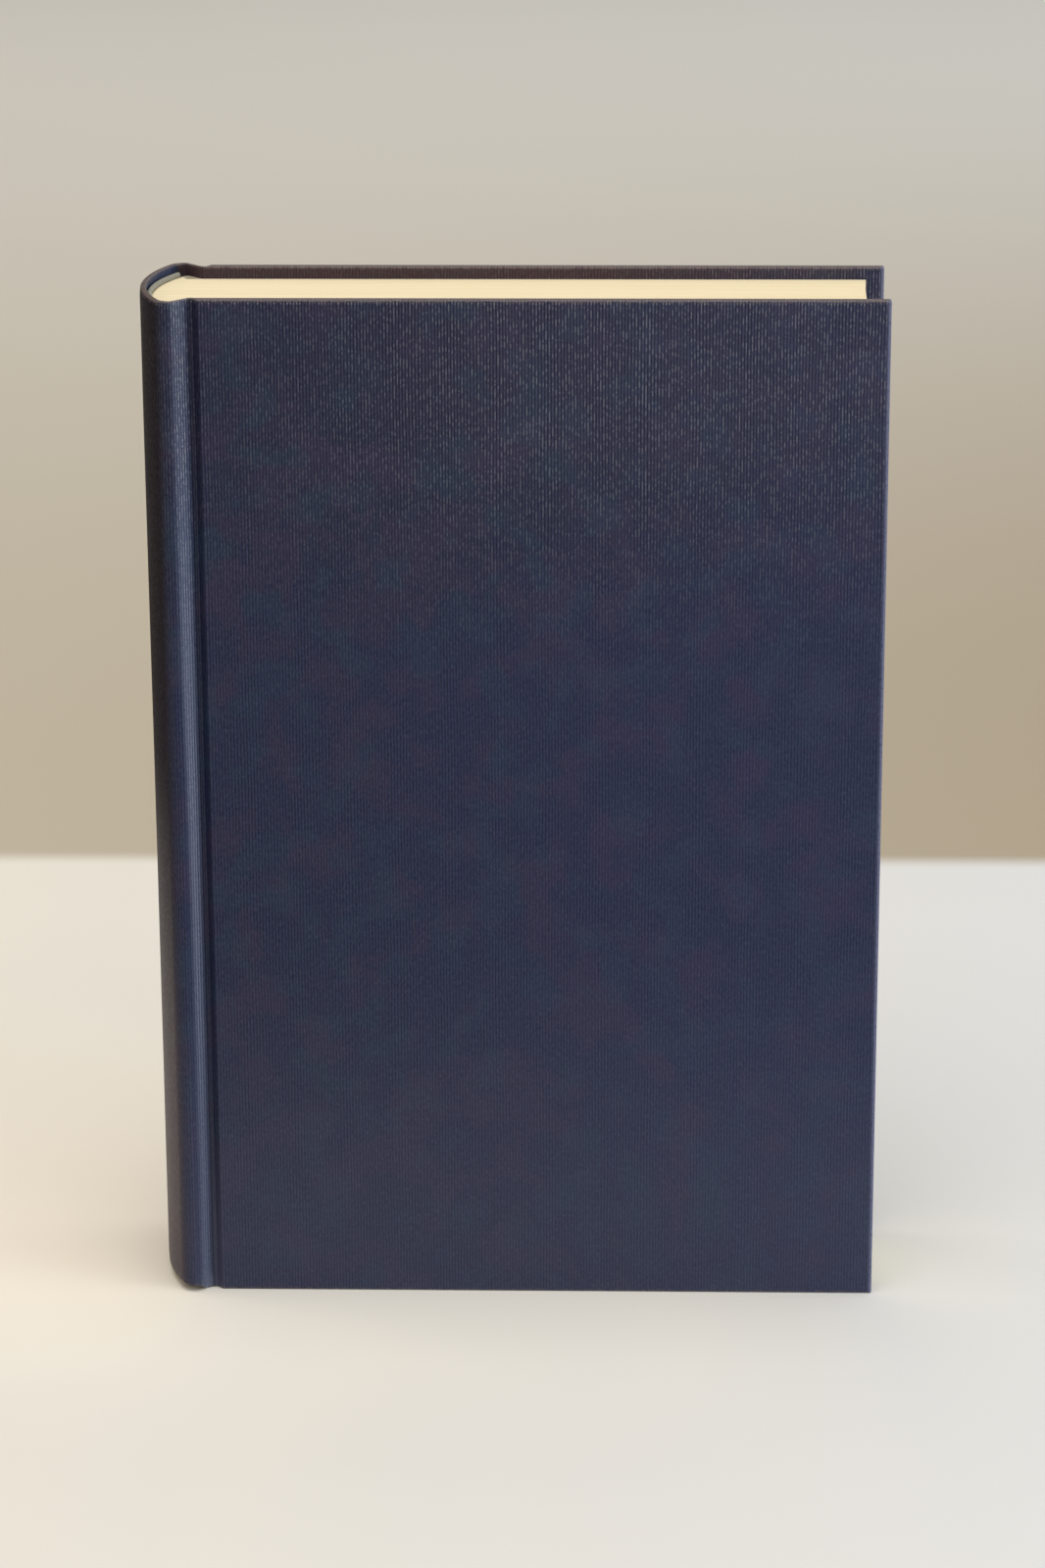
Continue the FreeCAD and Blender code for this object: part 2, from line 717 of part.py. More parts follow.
def is_upright(edge):
    """True for an edge along Z."""
    first, last = (vertex.Point for vertex in edge.Vertexes)
    return abs(first.x - last.x) + abs(first.y - last.y) < CLOSED


def mull_flange(side, label):
    """The mull's wing: down the joint and glued to the board."""
    outline = joint_layer_outline(
        COVER_SLIT, CLOTH, CLOTH + CLOTH, MULL_X, groove_parting()
    )
    body = new_body(label)
    sketch = new_sketch(body, "XY_Plane", SIZE["turn_in"], "Plan")
    outline.on(side).draw(sketch)
    pad(sketch, TOP_TURN_Z - SIZE["turn_in"])


def pastedown(side, label):
    """Endpaper glued inside a cover, sunk where it meets the bare board."""
    start = COVER_SLIT + SIZE["endpaper_start"]
    outer = CLOTH + CLOTH
    outline = joint_layer_outline(start, outer, outer + PAPER, PAGE_X)
    body = new_body(label)
    sketch = new_sketch(body, "XY_Plane", TAIL_Z, "Plan")
    outline.on(side).draw(sketch)
    pad(sketch, HEAD_Z - TAIL_Z, "SheetPad")
    low, high = SIZE["turn_in"], TOP_TURN_Z
    sunk = slab_sketch(body, side, LINER_Y, CARD_IN_Y, "Sunk")
    draw_rectangle(sunk, MULL_X, TURN_X, low, high)
    pad(sunk, CLOTH, "SunkPad")
    doc.recompute()
    level = PASTE_Y if side == FRONT else -PASTE_Y
    pan = new_sketch(body, "XZ_Plane", level, "Pan")
    draw_rectangle(pan, MULL_X + PAPER, TURN_X - PAPER, low + PAPER, high - PAPER)
    pocket(pan, CLOTH, side == FRONT, "PanCut")


def check(objects):
    """Stop unless every object is sound and every body holds a solid."""
    for thing in objects:
        if "Invalid" in thing.State or "Error" in thing.State:
            reason = thing.getStatusString()
            raise RuntimeError(f"{thing.Label} failed: {reason}")
        if thing.TypeId == "PartDesign::Body":
            shape = thing.Shape
            if shape.isNull() or not shape.isValid() or not shape.Solids:
                raise RuntimeError(f"{thing.Label} has no sound solid")


def build():
    """Model every piece and write one file for each."""
    text_block()
    flyleaf(FRONT, "front_flyleaf")
    flyleaf(BACK, "back_flyleaf")
    spine_mull()
    spine_lining()
    headband("head_band", HEAD_Z, 1)
    headband("tail_band", TAIL_Z, -1)
    spine_inlay()
    spine_cloth()
    for side, name in ((FRONT, "front"), (BACK, "back")):
        grey_board(side, f"{name}_board")
        mull_flange(side, f"{name}_mull_flange")
        pastedown(side, f"{name}_pastedown")
        cover_cloth(side, f"{name}_cover_cloth")
    doc.recompute()
    check(doc.Objects)
    os.makedirs("parts", exist_ok=True)
    for thing in doc.Objects:
        if thing.TypeId == "PartDesign::Body":
            thing.Shape.exportStep(f"parts/{thing.Label}.step")
    print(f"hinge line at x {HINGE.x:.3f}, y {HINGE.y:.3f} and {-HINGE.y:.3f}")


build()
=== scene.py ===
"""A cloth-covered hardback book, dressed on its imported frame.

Lengths in the modelling part are millimetres and become metres when a mesh is
made.  The back half is the front half mirrored in Y, so paths are worked out
once as (x, distance from the middle of the pages).
"""
import math

import bmesh
import bpy
import numpy as np
from mathutils import Matrix, Vector


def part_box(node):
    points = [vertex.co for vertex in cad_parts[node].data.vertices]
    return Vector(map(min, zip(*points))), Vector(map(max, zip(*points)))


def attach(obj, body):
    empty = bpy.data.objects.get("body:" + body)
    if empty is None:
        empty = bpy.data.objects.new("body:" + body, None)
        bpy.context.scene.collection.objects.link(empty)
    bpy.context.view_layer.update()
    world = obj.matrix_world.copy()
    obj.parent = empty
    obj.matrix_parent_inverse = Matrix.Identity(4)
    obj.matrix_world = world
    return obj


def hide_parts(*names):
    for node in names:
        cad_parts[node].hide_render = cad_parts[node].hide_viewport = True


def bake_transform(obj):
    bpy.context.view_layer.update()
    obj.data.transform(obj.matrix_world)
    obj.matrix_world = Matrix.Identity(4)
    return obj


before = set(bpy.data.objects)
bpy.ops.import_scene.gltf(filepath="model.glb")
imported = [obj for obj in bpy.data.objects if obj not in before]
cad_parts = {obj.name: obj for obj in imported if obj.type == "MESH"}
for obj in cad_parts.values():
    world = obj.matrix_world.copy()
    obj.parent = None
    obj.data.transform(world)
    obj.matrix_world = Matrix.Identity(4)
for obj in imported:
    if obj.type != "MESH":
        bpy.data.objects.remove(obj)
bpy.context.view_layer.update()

MM = 0.001
FRONT, BACK = -1, 1
rng = np.random.default_rng(7)

# Sizes of the book, as in the frame
HEIGHT, COVER_WIDTH = 240.0, 154.4
CLOTH, PAPER, INLAY = 0.3, 0.15, 0.75
TURN_IN = 15.0
END_SQUARE, FORE_SQUARE = 2.85, 4.2
MULL_REACH = 25.0
CREST_FROM_BOARD, GROOVE_FROM_BOARD, SHOULDER_FROM_BOARD = 6.6, 1.5, 5.5
TIP_FROM_SHOULDER = 1.2
SPINE_LIFT = 1.6
BACK_R = 36.0
CREST_R, FLANK_R, GROOVE_R, LIP_R = 3.5, 1.5, 0.8, 0.5
RIB_PITCH = 0.72

# Places along the book, from the pages' middle and from the floor
FORE_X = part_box("front_cover_cloth")[1].x / MM
CROWN_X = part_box("spine_cloth")[0].x / MM
BOARD_X = FORE_X - COVER_WIDTH
PAGE_X = FORE_X - FORE_SQUARE
TURN_X = FORE_X - TURN_IN
MULL_X = BOARD_X + MULL_REACH
CREST_X = BOARD_X - CREST_FROM_BOARD
GROOVE_X = BOARD_X - GROOVE_FROM_BOARD
SHOULDER_X = BOARD_X - SHOULDER_FROM_BOARD
TIP_X = SHOULDER_X - TIP_FROM_SHOULDER
BLOCK_Y, TIP_Y = 16.0, 18.4
LINER_Y, COVER_Y, GROOVE_Y, CREST_Y = 16.4, 19.0, 17.0, 21.2
HEAD_Z, TAIL_Z = HEIGHT - END_SQUARE, END_SQUARE
BACK_X = TIP_X + math.sqrt(BACK_R**2 - TIP_Y**2)
SPINE_DEPTH = CLOTH + INLAY + CLOTH


def vec(x, y):
    return np.array([x, y], float)


def unit(v):
    return v / np.linalg.norm(v)


def common_normal(convex, hollow, reach):
    """Outward normal of the line that touches a convex and a hollow arc."""
    way = hollow - convex
    along = reach / np.linalg.norm(way)
    across = math.sqrt(1 - along * along)
    way = unit(way)
    side = vec(-way[1], way[0])
    picks = [way * along + side * across, way * along - side * across]
    return max(picks, key=lambda n: n[1])


# Arcs of the case in the (x, distance from the middle) plane
CREST_C = vec(CREST_X, CREST_Y - CREST_R)
FLANK_C = vec(CREST_X, CREST_Y - FLANK_R)
GROOVE_C = vec(GROOVE_X, GROOVE_Y + GROOVE_R)
EDGE_C = vec(BOARD_X + LIP_R, COVER_Y - LIP_R)
FLANK_N = common_normal(FLANK_C, GROOVE_C, FLANK_R + GROOVE_R)
SLOPE_N = common_normal(EDGE_C, GROOVE_C, LIP_R + GROOVE_R)
FLANK_WAY = vec(FLANK_N[1], -FLANK_N[0])
FLANK_RUN = float(np.dot(GROOVE_C - FLANK_C, FLANK_WAY))
RISE = CREST_X - CROWN_X
CROWN_R = (CREST_C[1] ** 2 + RISE**2 - CREST_R**2) / (2 * (RISE - CREST_R))
CROWN_C = vec(CROWN_X + CROWN_R, 0)
CROWN_N = unit(CREST_C - CROWN_C)


def arc(centre, radius, first, last, count):
    """Points and outward normals from one direction to another."""
    a0, a1 = math.atan2(first[1], first[0]), math.atan2(last[1], last[0])
    if a1 - a0 > math.pi:
        a1 -= 2 * math.pi
    if a0 - a1 > math.pi:
        a1 += 2 * math.pi
    turns = np.linspace(a0, a1, count)
    ways = np.stack([np.cos(turns), np.sin(turns)], 1)
    return centre + radius * ways, ways


def steps(*stops):
    """Numbers through (start, step, stop, step, ...), each stop kept."""
    found = [stops[0]]
    for step, stop in zip(stops[1::2], stops[2::2]):
        count = max(1, round(abs(stop - found[-1]) / step))
        found.extend(np.linspace(found[-1], stop, count + 1)[1:])
    return np.array(found)


def smooth(low, high, x):
    """Smooth step from 0 at low to 1 at high."""
    t = np.clip((x - low) / (high - low), 0.0, 1.0)
    return t * t * (3 - 2 * t)


def waves(points, pitch, seed, count=9):
    """Smooth unevenness from a few sine waves, about -1 to 1."""
    local = np.random.default_rng(seed)
    total = np.zeros(points.shape[:-1])
    for _ in range(count):
        way = local.normal(size=points.shape[-1])
        way *= 2 * math.pi / (pitch * local.uniform(0.7, 1.6)) / np.linalg.norm(way)
        total += np.sin(points @ way + local.uniform(0, 6.28))
    return total / math.sqrt(count) / 1.4


class Skin:
    """Grids of points in millimetres, welded into one mesh."""

    def __init__(self, side=FRONT):
        self.side = side
        self.points, self.cloth, self.depth, self.faces = [], [], [], []
        self.count = 0

    def grid(self, points, cloth, depth=0.0, keep=None, flip=False):
        """A grid of points; keep says which of its cells are there."""
        rows, cols = points.shape[:2]
        index = np.arange(rows * cols).reshape(rows, cols) + self.count
        quads = np.stack(
            [index[:-1, :-1], index[1:, :-1], index[1:, 1:], index[:-1, 1:]], -1
        )
        quads = quads.reshape(-1, 4) if keep is None else quads[keep]
        self.faces.append(quads[:, ::-1] if flip else quads)
        self.points.append(points.reshape(-1, 3))
        self.cloth.append(cloth.reshape(-1, 3))
        self.depth.append(np.broadcast_to(depth, (rows, cols)).reshape(-1))
        self.count += rows * cols

    def make(self, name, material, sharp=50, weld=0.003):
        """One object of all the grids, with what its material reads on it."""
        place = np.concatenate(self.points)
        points = place * MM
        cloth = np.concatenate(self.cloth)
        faces = np.concatenate(self.faces)
        if self.side == FRONT:
            points = points * (1, -1, 1)
        else:
            faces = faces[:, ::-1]
        mesh = bpy.data.meshes.new(name)
        mesh.from_pydata(points.tolist(), [], faces.tolist())
        for label, values in (("cloth", cloth), ("place", place)):
            layer = mesh.attributes.new(label, "FLOAT_VECTOR", "POINT")
            layer.data.foreach_set("vector", values.astype(np.float32).ravel())
        layer = mesh.attributes.new("depth", "FLOAT", "POINT")
        layer.data.foreach_set("value", np.concatenate(self.depth).astype(np.float32))
        work = bmesh.new()
        work.from_mesh(mesh)
        bmesh.ops.remove_doubles(work, verts=work.verts, dist=weld * MM)
        loose = [v for v in work.verts if not v.link_faces]
        bmesh.ops.delete(work, geom=loose, context="VERTS")
        work.to_mesh(mesh)
        work.free()
        mesh.polygons.foreach_set("use_smooth", [True] * len(mesh.polygons))
        mesh.set_sharp_from_angle(angle=math.radians(sharp))
        mesh.materials.append(material)
        thing = bpy.data.objects.new(name, mesh)
        bpy.context.scene.collection.objects.link(thing)
        return thing


def linear(red, green, blue):
    """A colour as seen on a screen, 0 to 255, in scene values."""
    found = []
    for c in (red, green, blue):
        c /= 255
        found.append(c / 12.92 if c <= 0.04045 else ((c + 0.055) / 1.055) ** 2.4)
    return (*found, 1.0)


class Shade:
    """Short names for the nodes of one material."""

    def __init__(self, name):
        self.material = bpy.data.materials.new(name)
        self.material.use_nodes = True
        self.tree = self.material.node_tree
        self.tree.nodes.clear()
        self.out = self.node("ShaderNodeOutputMaterial")
        self.skin = self.node("ShaderNodeBsdfPrincipled")
        self.tree.links.new(self.skin.outputs[0], self.out.inputs[0])

    def node(self, kind, **settings):
        node = self.tree.nodes.new(kind)
        for key, value in settings.items():
            setattr(node, key, value)
        return node

    def put(self, socket, value):
        if isinstance(value, bpy.types.NodeSocket):
            self.tree.links.new(value, socket)
        else:
            socket.default_value = value

    def math(self, operation, *values):
        node = self.node("ShaderNodeMath", operation=operation)
        for socket, value in zip(node.inputs, values):
            self.put(socket, value)
        return node.outputs[0]

    def add(self, a, b):
        return self.math("ADD", a, b)

    def less(self, a, b):
        return self.math("SUBTRACT", a, b)

    def times(self, first, *others):
        for other in others:
            first = self.math("MULTIPLY", first, other)
        return first

    def between(self, low, high, value, bottom=0.0, top=1.0):
        """Smooth step of a value from low to high."""
        node = self.node("ShaderNodeMapRange", interpolation_type="SMOOTHSTEP")
        for socket, part in zip(node.inputs, (value, low, high, bottom, top)):
            self.put(socket, part)
        return node.outputs[0]

    def mix(self, share, first, second):
        node = self.node("ShaderNodeMix", data_type="RGBA")
        self.put(node.inputs[0], share)
        self.put(node.inputs[6], first)
        self.put(node.inputs[7], second)
        return node.outputs[2]

    def tint(self, colour, share, *screen):
        """A colour mixed by a share towards a screen colour."""
        return self.mix(share, colour, linear(*screen))

    def vector(self, x, y, z=0.0):
        node = self.node("ShaderNodeCombineXYZ")
        for socket, value in zip(node.inputs, (x, y, z)):
            self.put(socket, value)
        return node.outputs[0]

    def parts(self, name):
        """x, y and z of a named attribute, or of the object's own place in mm."""
        if name == "object":
            source = self.node("ShaderNodeTexCoord").outputs["Object"]
            scale = self.node("ShaderNodeVectorMath", operation="SCALE")
            self.put(scale.inputs[0], source)
            scale.inputs["Scale"].default_value = 1 / MM
            source = scale.outputs[0]
        else:
            source = self.node("ShaderNodeAttribute", attribute_name=name)
            source = source.outputs["Vector"]
        node = self.node("ShaderNodeSeparateXYZ")
        self.put(node.inputs[0], source)
        return source, *node.outputs

    def noise(self, vector, scale, detail=2.0, rough=0.5):
        node = self.node("ShaderNodeTexNoise")
        self.put(node.inputs["Vector"], vector)
        node.inputs["Scale"].default_value = scale
        node.inputs["Detail"].default_value = detail
        node.inputs["Roughness"].default_value = rough
        return node.outputs["Fac"]

    def bump(self, height, strength, distance, after=None):
        """Height in millimetres as a bump."""
        node = self.node("ShaderNodeBump")
        node.inputs["Strength"].default_value = strength
        node.inputs["Distance"].default_value = distance * MM
        self.put(node.inputs["Height"], height)
        if after is not None:
            self.put(node.inputs["Normal"], after)
        return node.outputs[0]

    def finish(self, colour, roughness, normal=None, **constants):
        self.put(self.skin.inputs["Base Color"], colour)
        self.put(self.skin.inputs["Roughness"], roughness)
        if normal is not None:
            self.put(self.skin.inputs["Normal"], normal)
        for key, value in constants.items():
            self.skin.inputs[key].default_value = value
        return self.material


def thread_pattern(s, u, v):
    """Fine upright ribs: profile, each rib's own number, dashes and height in mm."""
    drift = s.noise(s.vector(s.times(u, 0.09), s.times(v, 0.02)), 1.0, 2)
    phase = s.add(s.math("DIVIDE", u, RIB_PITCH), s.times(drift, 1.1))
    index = s.math("FLOOR", phase)
    across = s.less(s.math("FRACT", phase), 0.5)
    rib = s.less(1.0, s.times(across, across, 4.0))
    each = s.node("ShaderNodeTexWhiteNoise", noise_dimensions="1D")
    s.put(each.inputs["W"], index)
    own = each.outputs["Value"]
    along = s.vector(s.times(index, 7.31), s.times(v, 0.75), s.times(own, 40.0))
    dash = s.noise(along, 1.0, 1.0, 0.6)
    weft = s.math("SINE", s.add(s.times(v, 19.0), s.times(index, 2.4)))
    slub = s.noise(s.vector(s.times(u, 0.8), s.times(v, 0.12)), 1.0, 3)
    height = s.times(rib, s.add(0.55, s.times(dash, 0.6)))
    height = s.add(s.add(height, s.times(weft, 0.08)), s.times(slub, 0.3))
    return rib, own, dash, height


def case_zones(s, x, z, depth):
    """Shares of the case's parts, from places with the book closed.

    raised: where light rakes over the ribs, given painted rib highlights; flank: polished
    side of the crest, given a painted highlight; crown: round back of the spine, given
    painted shade; groove: slope up to the board's edge.
    """
    inner = s.between(0.7, 0.95, depth)
    outer = s.less(1.0, inner)
    across = s.between(BOARD_X, 10.0, x, 0.4, 1.0)
    shifted = s.less(x, s.between(215.0, 60.0, z, 0.0, 1.0))
    flank = s.between(CREST_X + 0.42, CREST_X + 1.92, shifted)
    behind = s.between(CREST_X - 0.58, CREST_X - 3.18, x)
    slope = s.between(GROOVE_X - 0.88, GROOVE_X + 0.12, x)
    return {
        "inner": inner,
        "outer": outer,
        "raised": s.times(s.between(146.0, 226.0, z), across),
        "flank": s.times(flank, s.between(GROOVE_X - 0.43, GROOVE_X - 0.93, x), outer),
        "behind": behind,
        "crown": s.times(behind, outer),
        "low crown": s.times(behind, outer, s.between(135.0, 42.0, z)),
        "groove": s.times(slope, s.between(GROOVE_X + 2.22, GROOVE_X + 1.52, x), outer),
    }


def dye_and_painted_light(s, place, x, z, rib, zone):
    """Ribs in two navy tones with uneven dye, painted rib highlights at the top, painted light
    towards the fore-edge and a painted table reflection towards the tail.
    """
    raised = zone["raised"]
    # Painted light raking over the ribs at the top: lighter crests and darker valleys in the
    # raised zone.
    valley = s.mix(raised, linear(19, 23, 45), linear(10, 14, 34))
    crest = s.mix(raised, linear(31, 39, 70), linear(38, 37, 58))
    body = s.mix(s.between(0.3, 1.0, rib), valley, crest)
    plum = s.between(0.45, 0.65, s.noise(place, 0.09, 3, 0.6))
    body = s.tint(body, s.times(plum, 0.3), 58, 40, 66)
    teal = s.between(0.48, 0.66, s.noise(place, 0.12, 2, 0.5))
    body = s.tint(body, s.times(teal, 0.28), 28, 54, 72)
    # Painted highlights along the rib crests where light rakes at the top.
    lines = s.times(s.between(0.5, 1.0, rib), raised, raised)
    body = s.tint(body, s.times(lines, 0.28), 82, 83, 105)
    # Painted light from the window side, lighter and bluer towards the fore-edge.
    body = s.tint(body, s.between(-76.0, 90.0, x, 0.0, 0.16), 58, 66, 104)
    # Painted reflection of the table: lighter towards the tail.
    return s.tint(body, s.between(100.0, 6.0, z, 0.0, 0.36), 68, 71, 90)


def painted_case_shading(s, body, z, zone):
    """Painted light and shade on the case: shade on the crown, a warm reflection low on it, a
    highlight on the flank, light in the groove at the tail and on the inside of the spine
    cloth.
    """
    # Painted shade on the crown, strongest towards the head.
    crown_shade = s.times(zone["crown"], s.between(160.0, 40.0, z, 0.92, 0.5))
    body = s.tint(body, crown_shade, 25, 18, 22)
    # Painted warm reflection of the table low on the crown.
    body = s.tint(body, s.times(zone["low crown"], 0.3), 72, 46, 54)
    # Painted highlight on the flank, weaker at the head.
    less_at_head = s.between(240.0, 170.0, z, 0.45, 1.0)
    body = s.tint(body, s.times(zone["flank"], less_at_head, 0.4), 48, 66, 106)
    # Painted light in the groove near the tail, lifting its shade.
    at_tail = s.between(45.0, 6.0, z)
    body = s.tint(body, s.times(zone["groove"], at_tail, 0.3), 96, 98, 120)
    # Painted light on the inside of the spine cloth behind the crest.
    return s.tint(body, s.times(zone["inner"], zone["behind"], 0.7), 62, 72, 98)


def painted_glints_and_specks(s, body, u, v, z, edge, rib, own, bright, streak, zone):
    """Painted glints as pale dashes on the ribs, thread tips at the head, grain and specks."""
    # Painted glints: pale dashes on rib crests, strongest where light rakes at the top and in
    # the flank's highlight, few on the crown.
    strength = s.times(bright, s.between(0.8, 1.0, rib))
    base = s.add(0.03, s.times(zone["raised"], 0.38))
    strength = s.times(strength, s.add(s.times(streak, 0.5), base))
    strength = s.times(strength, s.less(1.0, s.times(zone["crown"], 0.8)))
    body = s.tint(body, strength, 134, 136, 144)
    tips = s.times(s.between(0.45, 0.65, edge), s.between(1.1, 0.85, edge))
    tips = s.times(tips, s.between(0.3, 0.9, own), s.between(0.7, 1.0, rib))
    tips = s.times(tips, s.between(232.0, 236.0, z), zone["outer"])
    body = s.tint(body, s.times(tips, 0.5), 150, 146, 144)
    grain = s.noise(s.vector(s.times(u, 2.6), s.times(v, 0.9)), 1.0, 2, 0.6)
    body = s.tint(body, s.between(0.42, 0.7, grain, 0.0, 0.12), 96, 100, 122)
    cells = s.node("ShaderNodeTexVoronoi", voronoi_dimensions="2D")
    s.put(cells.inputs["Vector"], s.vector(s.times(u, 0.04), s.times(v, 0.04)))
    pick = s.node("ShaderNodeSeparateXYZ")
    s.put(pick.inputs[0], cells.outputs["Color"])
    speck = s.between(0.011, 0.006, cells.outputs["Distance"])
    speck = s.times(speck, s.between(0.6, 0.7, pick.outputs[0]), zone["outer"])
    return s.tint(body, s.times(speck, 0.6), 150, 148, 148)


def rim_wear_and_painted_light(s, body, x, z, edge, fluff, rubbed, zone):
    """Painted warm reflection of the pages on the inner cloth at head and tail; worn rims;
    painted highlights on the head and fore-edge rims, broken like worn cloth; paler near all
    rims and corners.
    """
    # Painted warm reflection of the pages on the cloth inside the case at head and tail.
    ends = s.math("MAXIMUM", s.between(235.5, 236.8, z), s.between(4.5, 3.2, z))
    page_reflection = s.times(zone["inner"], s.between(CREST_X - 1.58, CREST_X - 0.38, x), ends)
    page_reflection = s.times(page_reflection, s.between(FORE_X - 2.4, FORE_X - 8.4, x))
    page_reflection = s.times(page_reflection, s.between(70.0, 15.0, x, 0.35, 1.0))
    body = s.tint(body, s.times(page_reflection, 0.6), 74, 52, 46)
    body = s.tint(body, s.times(rubbed, 0.55), 116, 103, 98)
    # Painted highlight along the head rim, broken like worn cloth.
    rim = s.times(s.between(0.45, 0.0, edge), s.between(0.25, 0.6, fluff, 0.35, 1.0))
    rim = s.times(rim, s.between(HEIGHT - 1.0, HEIGHT - 0.4, z))
    body = s.tint(body, s.times(rim, 0.5), 128, 115, 108)
    # Painted highlight of the window light on the fore-edge rim.
    fore = s.between(FORE_X - 1.18, FORE_X - 0.18, x)
    fore = s.times(fore, s.between(0.3, 0.5, fluff, 0.5, 1.0))
    body = s.tint(body, s.times(fore, 0.65), 114, 120, 150)
    soft = s.times(s.between(6.0, 0.0, edge), s.between(0.45, 0.75, fluff))
    return s.tint(body, s.times(soft, 0.12), 84, 80, 92)


def cloth_gloss(s, z, rib, fluff, streak, zone):
    """Specular level: high on the flank, none on the crown near the head."""
    shine = s.less(s.between(225.0, 120.0, z, 0.6, 1.15), s.between(110.0, 30.0, z, 0.0, 0.25))
    gloss = s.add(0.22, s.times(zone["flank"], shine))
    gloss = s.less(gloss, s.times(zone["crown"], 0.21))
    gloss = s.add(gloss, s.times(zone["low crown"], 0.26))
    in_valley = s.less(0.8, s.times(streak, 0.6))
    gloss = s.times(gloss, s.between(0.1, 0.95, rib, in_valley, 1.15))
    return s.times(gloss, s.between(0.3, 0.7, fluff, 0.72, 1.25))


def book_cloth():
    """Navy ribbed cloth: threads in fine upright ribs, rubbed at the rims, with painted
    highlights, reflections and shade.
    """
    s = Shade("navy_book_cloth")
    _, u, v, edge = s.parts("cloth")
    place, x, _, z = s.parts("place")
    depth = s.node("ShaderNodeAttribute", attribute_name="depth").outputs["Fac"]
    rib, own, dash, height = thread_pattern(s, u, v)
    zone = case_zones(s, x, z, depth)
    # bright: where dashes glint as painted highlights; streak: painted highlight streaks on the
    # upper flank.
    bright = s.between(0.5, 0.62, dash)
    streak = s.times(zone["flank"], s.between(120.0, 215.0, z))
    fluff = s.noise(s.vector(s.times(u, 1.7), s.times(v, 1.1)), 1.0, 3, 0.7)
    rubbed = s.times(s.between(0.9, 0.05, edge), s.between(0.38, 0.6, fluff))

    body = dye_and_painted_light(s, place, x, z, rib, zone)
    body = painted_case_shading(s, body, z, zone)
    body = painted_glints_and_specks(s, body, u, v, z, edge, rib, own, bright, streak, zone)
    body = rim_wear_and_painted_light(s, body, x, z, edge, fluff, rubbed, zone)
    fine = s.bump(height, 0.8, 0.08)
    normal = s.bump(s.noise(place, 0.06, 3), 0.5, 0.4, after=fine)
    rough = s.less(s.add(0.46, s.times(rubbed, 0.2)), s.times(bright, 0.06))
    level = s.skin.inputs["Specular IOR Level"]
    level.default_value = 0.25
    s.put(level, cloth_gloss(s, z, rib, fluff, streak, zone))
    return s.finish(body, rough, normal)


def page_paper():
    """Trimmed page edges: fine lines along the leaves, warm cream."""
    s = Shade("page_edges")
    _, q, along, _ = s.parts("cloth")
    place, *_ = s.parts("place")
    line = s.noise(s.vector(s.times(q, 6.0), s.times(along, 0.02)), 1.0, 3, 0.7)
    band = s.noise(s.vector(s.times(q, 0.9), s.times(along, 0.004)), 1.0, 2, 0.6)
    patch = s.noise(place, 0.03, 3, 0.6)
    colour = s.mix(s.between(0.35, 0.7, line), linear(237, 221, 181), linear(244, 232, 198))
    colour = s.mix(s.times(s.between(0.42, 0.72, band), 0.4), colour, linear(226, 204, 160))
    colour = s.mix(s.times(s.between(0.5, 0.75, patch), 0.2), colour, linear(236, 216, 174))
    normal = s.bump(line, 0.6, 0.05)
    return s.finish(colour, 0.75, normal, **{"Specular IOR Level": 0.25})


def end_paper():
    """Endpaper: off-white laid sheet, a little toned in soft clouds."""
    s = Shade("endpaper")
    place, *_ = s.parts("object")
    fibre = s.noise(place, 1.3, 4, 0.7)
    cloud = s.noise(place, 0.02, 3, 0.6)
    colour = s.mix(s.between(0.3, 0.75, fibre), linear(222, 213, 188), linear(231, 223, 202))
    colour = s.mix(s.times(s.between(0.45, 0.75, cloud), 0.4), colour, linear(213, 200, 169))
    normal = s.bump(fibre, 0.5, 0.03)
    return s.finish(colour, 0.8, normal, **{"Specular IOR Level": 0.25})


def thread(name, light, dark, pitch):
    """Wound or woven thread."""
    s = Shade(name)
    _, u, v, _ = s.parts("cloth")
    turn = s.math("FRACT", s.add(s.math("DIVIDE", u, pitch), s.times(v, 0.35)))
    slope = s.math("ABSOLUTE", s.less(s.times(turn, 2.0), 1.0))
    rounded = s.less(1.0, slope)
    fuzz = s.noise(s.vector(s.times(u, 3.0), s.times(v, 3.0)), 1.0, 3, 0.7)
    colour = s.mix(s.between(0.1, 0.7, rounded), dark, light)
    colour = s.mix(s.times(fuzz, 0.3), colour, dark)
    normal = s.bump(s.add(rounded, s.times(fuzz, 0.4)), 0.7, 0.05)
    return s.finish(colour, 0.75, normal, **{"Specular IOR Level": 0.3})


def card():
    """Grey board: pressed fibres with flecks."""
    s = Shade("grey_board")
    place, x, y, z = s.parts("object")
    fibre = s.noise(place, 1.6, 4, 0.75)
    fleck = s.between(0.68, 0.74, s.noise(place, 2.6, 2, 0.6))
    ply = s.noise(s.vector(s.times(x, 0.2), s.times(y, 9.0), s.times(z, 0.2)), 1.0, 2)
    colour = s.mix(s.between(0.3, 0.7, fibre), linear(128, 122, 110), linear(160, 154, 140))
    colour = s.mix(s.times(fleck, 0.7), colour, linear(88, 80, 70))
    colour = s.mix(s.times(s.between(0.4, 0.7, ply), 0.2), colour, linear(110, 104, 94))
    normal = s.bump(fibre, 0.6, 0.06)
    return s.finish(colour, 0.9, normal, **{"Specular IOR Level": 0.2})


